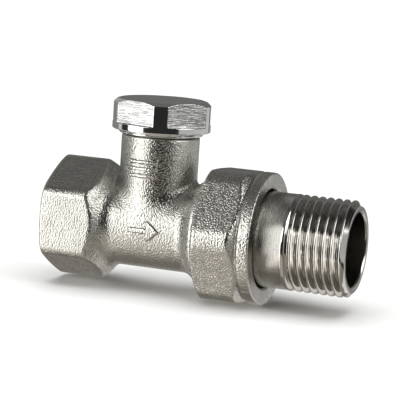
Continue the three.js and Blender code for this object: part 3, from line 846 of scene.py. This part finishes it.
def make_tailpiece():
    """The tailpiece: a grooved nose, a flange for the nut, a plain stretch and a pipe thread."""
    outline = [
        (TAIL_LOW.x, NOSE_BORE, 0.15),
        (TAIL_LOW.x, NOSE_RADIUS - 0.4, 0.15),
        (NOSE_TAPER_END, NOSE_RADIUS, 0.1),
        (GROOVE_START, NOSE_RADIUS, 0.1),
        (GROOVE_START, GROOVE_RADIUS, 0.15),
        (GROOVE_END, GROOVE_RADIUS, 0.15),
        (GROOVE_END, NOSE_RADIUS, 0.1),
        (FLANGE_START, NOSE_RADIUS, 0.15),
        (FLANGE_START, FLANGE_RADIUS, 0.2),
        (FLANGE_END, FLANGE_RADIUS, 0.2),
        (FLANGE_END, TAIL_RADIUS, 0.2),
        (TAIL_THREAD_SHOULDER, TAIL_RADIUS, 0),
        (TAIL_THREAD_SHOULDER + 0.1, PIPE_MAJOR, 0),
        (TAIL_CHAMFER, PIPE_MAJOR, 0),
        (TAIL_END, PIPE_MINOR, 0.12),
        (TAIL_END, TAIL_BORE + 0.25, 0.1),
        (TAIL_END - 0.35, TAIL_BORE, 0.1),
        (27.5, TAIL_BORE, 0.3),
        (26.0, NOSE_BORE, 0.3),
    ]
    thread = Thread(TAIL_THREAD_START, TAIL_END + FAR, PIPE_PITCH, PIPE_MAJOR - PIPE_MINOR, PIPE_MAJOR)
    tail = revolve("tailpiece_turned", outline, 240, "x", thread)
    dress(tail, "tailpiece", "nickel_turned", (TURNED_X, POLISHED_X), "tailpiece")
    on_thread = face_middles(tail)[:, 0] > TAIL_THREAD_SHOULDER + 0.05
    tail.data.polygons.foreach_set("material_index", on_thread.astype(np.int32))


def make_bush():
    """The brass insert that holds the spindle in the neck."""
    half = BUSH_HIGH.x
    low, high = (-half, -half, BUSH_LOW.z), (half, half, BUSH_HIGH.z)
    bush = surface_of("gland_bush_turned", bush_field, low, high, BUSH_VOXEL)
    dress(bush, "valve_body", "brass_raw", BRASS, "gland_bush")


def make_spindle():
    """The spindle's stem and the thread on its head."""
    half = SPINDLE_HIGH.x
    low, high = (-half, -half, SPINDLE_LOW.z), (half, half, SPINDLE_HIGH.z)
    spindle = surface_of("spindle_stem", spindle_field, low, high, SPINDLE_VOXEL)
    dress(spindle, "spindle", "brass_raw", BRASS, "spindle")
    start, end, root = SPINDLE_THREAD_START, SPINDLE_HIGH.z, SPINDLE_HEAD_RADIUS - 0.1
    outline = [
        (start, root, 0),
        (start, SPINDLE_THREAD_RADIUS, 0.1),
        (end - 0.35, SPINDLE_THREAD_RADIUS, 0.1),
        (end - 0.1, root, 0),
    ]
    thread = Thread(start, end, COVER_PITCH, 0.4, SPINDLE_THREAD_RADIUS)
    dress(revolve("spindle_thread", outline, 96, "z", thread), "spindle", "brass_raw", BRASS)


def make_retaining_ring():
    """The split ring that keeps the spindle in the insert."""
    reach = CLIP_RADIUS + 0.77
    low, high = (-reach, -reach, CLIP_HEIGHT - 0.35), (reach, reach, CLIP_HEIGHT + 0.35)
    ring = surface_of("retaining_ring", retaining_ring_field, low, high, CLIP_VOXEL)
    dress(ring, "valve_body", "spring_steel", STEEL, "spindle_retaining_ring")


def washer(low, high, inner, outer, inner_fillet, outer_fillet):
    """The outline of a flat ring."""
    return [
        (low, inner, inner_fillet),
        (low, outer, outer_fillet),
        (high, outer, outer_fillet),
        (high, inner, inner_fillet),
    ]


def make_plug():
    """The closing disc, its rubber washer and the screw that holds it."""
    outline = [
        (PLUG_LOW, SCREW_HOLE, 0.1),
        (PLUG_LOW, PLUG_RADIUS, 0.3),
        (PLUG_SHOULDER, PLUG_RADIUS, 0.2),
        (PLUG_TOP, PLUG_NECK_RADIUS, 0.2),
        (PLUG_TOP, PLUG_POCKET_RADIUS, 0.1),
        (PLUG_POCKET_FLOOR, PLUG_POCKET_RADIUS, 0.1),
        (PLUG_POCKET_FLOOR, SCREW_HOLE, 0),
    ]
    dress(revolve("plug_disc", outline, 120, "z"), "plug", "brass_raw", BRASS, "plug")
    seal = revolve("plug_seal", washer(SEAL_LOW, SEAL_HIGH, SCREW_HOLE, SEAL_RADIUS, 0.1, 0.2), 120, "z")
    dress(seal, "plug", "rubber_black", RUBBER, "plug_seal_washer")
    reach = SCREW_HEAD_RADIUS
    low, high = (-reach, -reach, SCREW_LOW), (reach, reach, SCREW_HIGH)
    screw = surface_of("plug_screw", washer_screw_field, low, high, SCREW_VOXEL)
    dress(screw, "plug", "brass_raw", BRASS, "plug_washer_screw")


def make_flat_rings():
    """The ring that backs the upper spindle seal, and the gasket in the cap."""
    outline = washer(BACKUP_LOW, BACKUP_HIGH, BACKUP_BORE, BACKUP_RADIUS, 0.1, 0.1)
    backup = revolve("backup_ring", outline, 96, "z")
    dress(backup, "plug", "ptfe_white", PTFE, "spindle_backup_ring")
    outline = washer(GASKET_LOW, GASKET_HIGH, GASKET_BORE, GASKET_RADIUS, 0.15, 0.15)
    gasket = revolve("cap_gasket_disc", outline, 120, "z")
    dress(gasket, "cap_gasket", "gasket_fibre", FIBRE, "cap_gasket")


def make_o_rings():
    """Each seal: its name, ring and section radii, place along its axis, axis, body and CAD node."""
    for name, radius, wire, at, axis, body, node in (
        ("gland_seal", 4.85, 0.6, 10.4, "z", "valve_body", "gland_oring"),
        ("spindle_seal_lower", 2.79, 0.45, 10.0, "z", "plug", "spindle_oring_lower"),
        ("spindle_seal_upper", 2.79, 0.45, 12.1, "z", "plug", "spindle_oring_upper"),
        ("union_seal_ring", 8.03, 0.9, 18.3, "x", "union_seal", "tailpiece_oring"),
    ):
        dress(o_ring(name, radius, wire, at, axis), body, "rubber_black", RUBBER, node)


make_body()
make_nut()
make_cap()
make_tailpiece()
make_bush()
make_spindle()
make_retaining_ring()
make_plug()
make_flat_rings()
make_o_rings()

# ---------------------------------------------------------------- camera
VIEW_AZIMUTH, VIEW_ELEVATION, VIEW_ROLL = (math.radians(a) for a in (20.32, 8.66, 3.64))
VIEW_DISTANCE = 0.3624
VIEW_TARGET = CROSSING + Vector((0.01008, 0.0, 0.00668))
VIEW_LENS, SENSOR = 148.8, 36.0


def make_camera():
    """Stands at an azimuth from the front (-Y) towards +X and at an elevation, and is then rolled."""
    camera = bpy.data.objects.new("camera", bpy.data.cameras.new("camera"))
    bpy.context.scene.collection.objects.link(camera)
    level = math.cos(VIEW_ELEVATION)
    back = Vector((math.sin(VIEW_AZIMUTH) * level, -math.cos(VIEW_AZIMUTH) * level, math.sin(VIEW_ELEVATION)))
    right = Vector((math.cos(VIEW_AZIMUTH), math.sin(VIEW_AZIMUTH), 0.0))
    up = back.cross(right)
    c, s = math.cos(VIEW_ROLL), math.sin(VIEW_ROLL)
    turned = Matrix((right * c + up * s, up * c - right * s, back)).transposed()
    camera.matrix_world = Matrix.Translation(VIEW_TARGET + back * VIEW_DISTANCE) @ turned.to_4x4()
    camera.data.lens = VIEW_LENS
    camera.data.sensor_width = SENSOR
    camera.data.clip_start, camera.data.clip_end = 0.01, 20.0
    bpy.context.scene.camera = camera


# ---------------------------------------------------------------- studio
FLOOR_SIZE = 6.0


def make_floor():
    """A pale sheet under the lowest point of the valve."""
    mesh = bpy.data.meshes.new("floor")
    half, height = FLOOR_SIZE / 2, CAD_BOX[0].z
    corners = [(-half, -half, height), (half, -half, height), (half, half, height), (-half, half, height)]
    mesh.from_pydata(corners, [], [(0, 1, 2, 3)])
    floor = link("floor", mesh)
    made, tree, shader = material("floor_paper")
    shader.inputs["Roughness"].default_value = 0.9
    shader.inputs["Base Color"].default_value = (0.92, 0.92, 0.92, 1)
    floor.data.materials.append(made)
    floor.visible_glossy = False
    floor.visible_shadow = False


# Each softbox: its azimuths from the front (-Y) towards +X and its elevations, in degrees, and its strength.
SOFTBOXES = (
    ((-61, -22), (-25, 34), 2.3),
    ((-60, -42), (-50, -25), 2.0),
    ((-22, -12), (7, 38), 3.2),
    ((63, 107), (-18, 44), 0.5),
    ((63, 107), (16, 44), 2.4),
    ((107, 165), (-60, 3), 0.55),
    ((-97, -84), (-40, 40), 0.6),
    ((-150, -97), (-40, 40), 0.22),
    ((-181, -120), (0, 91), 0.13),
    ((150, 181), (0, 91), 0.13),
    ((-120, 150), (36, 91), 0.05),
    ((-62, -19), (50, 76), 0.25),
    ((-181, -152), (-34, -2), 0.4),
    ((170, 181), (-34, -2), 0.4),
)
WARM_BOUNCE = (
    ((-70, 60), (-91, -22), 0.47),
    ((-181, -70), (-91, -25), 0.17),
    ((60, 181), (-91, -25), 0.20),
)
NEUTRAL, WARM = (1.0, 0.995, 0.97, 1), (1.0, 0.94, 0.82, 1)
ROOM_LIGHT = 0.025
SOFT_EDGE = 3.0  # degrees
OVERHEAD_STRENGTH, OVERHEAD_SPREAD = 2.8, math.radians(70)


def make_world():
    """A dim studio with broad softboxes, each a patch of azimuth and elevation."""
    world = bpy.data.worlds.new("studio")
    world.use_nodes = True
    bpy.context.scene.world = world
    tree = world.node_tree
    tree.nodes.clear()
    coords = tree.nodes.new("ShaderNodeTexCoord")
    split = tree.nodes.new("ShaderNodeSeparateXYZ")
    tree.links.new(coords.outputs["Generated"], split.inputs[0])
    front = math_node(tree, "MULTIPLY", split.outputs["Y"], -1.0)
    azimuth = math_node(tree, "ARCTAN2", split.outputs["X"], front)
    elevation = math_node(tree, "ARCSINE", split.outputs["Z"])
    both = tree.nodes.new("ShaderNodeAddShader")
    light_sets = ((SOFTBOXES, NEUTRAL, ROOM_LIGHT), (WARM_BOUNCE, WARM, 0.0))
    for i, (boxes, color, room) in enumerate(light_sets):
        background = tree.nodes.new("ShaderNodeBackground")
        background.inputs["Color"].default_value = color
        tree.links.new(brightness(tree, azimuth, elevation, boxes, room), background.inputs["Strength"])
        tree.links.new(background.outputs[0], both.inputs[i])
    output = tree.nodes.new("ShaderNodeOutputWorld")
    tree.links.new(both.outputs[0], output.inputs["Surface"])


def brightness(tree, azimuth, elevation, boxes, room):
    """The summed strength of a set of softboxes in each direction."""
    total = room
    for azimuths, elevations, strength in boxes:
        across = window(tree, azimuth, *azimuths)
        box = math_node(tree, "MULTIPLY", across, window(tree, elevation, *elevations))
        total = math_node(tree, "ADD", math_node(tree, "MULTIPLY", box, strength), total)
    return total


def math_node(tree, operation, a, b=None):
    """A maths node on numbers or sockets."""
    node = tree.nodes.new("ShaderNodeMath")
    node.operation = operation
    for socket, value in zip(node.inputs, (a, b)):
        if isinstance(value, (int, float)):
            socket.default_value = value
        elif value is not None:
            tree.links.new(value, socket)
    return node.outputs[0]


def window(tree, angle, low, high):
    """1 between two angles in degrees, fading to 0 past each."""
    edges = []
    for middle, sign in ((low, 1), (high, -1)):
        fade = tree.nodes.new("ShaderNodeMapRange")
        fade.interpolation_type = "SMOOTHSTEP"
        fade.inputs["From Min"].default_value = math.radians(middle - sign * SOFT_EDGE / 2)
        fade.inputs["From Max"].default_value = math.radians(middle + sign * SOFT_EDGE / 2)
        tree.links.new(angle, fade.inputs["Value"])
        edges.append(fade.outputs["Result"])
    return math_node(tree, "MULTIPLY", *edges)


def make_lights():
    """One very soft light from above for the floor and the matt parts."""
    light = bpy.data.lights.new("overhead", "SUN")
    light.energy = OVERHEAD_STRENGTH
    light.angle = OVERHEAD_SPREAD
    lamp = bpy.data.objects.new("overhead", light)
    bpy.context.scene.collection.objects.link(lamp)
    lamp.visible_glossy = False


make_camera()
make_floor()
make_world()
make_lights()
bpy.context.scene.view_settings.view_transform = "Standard"
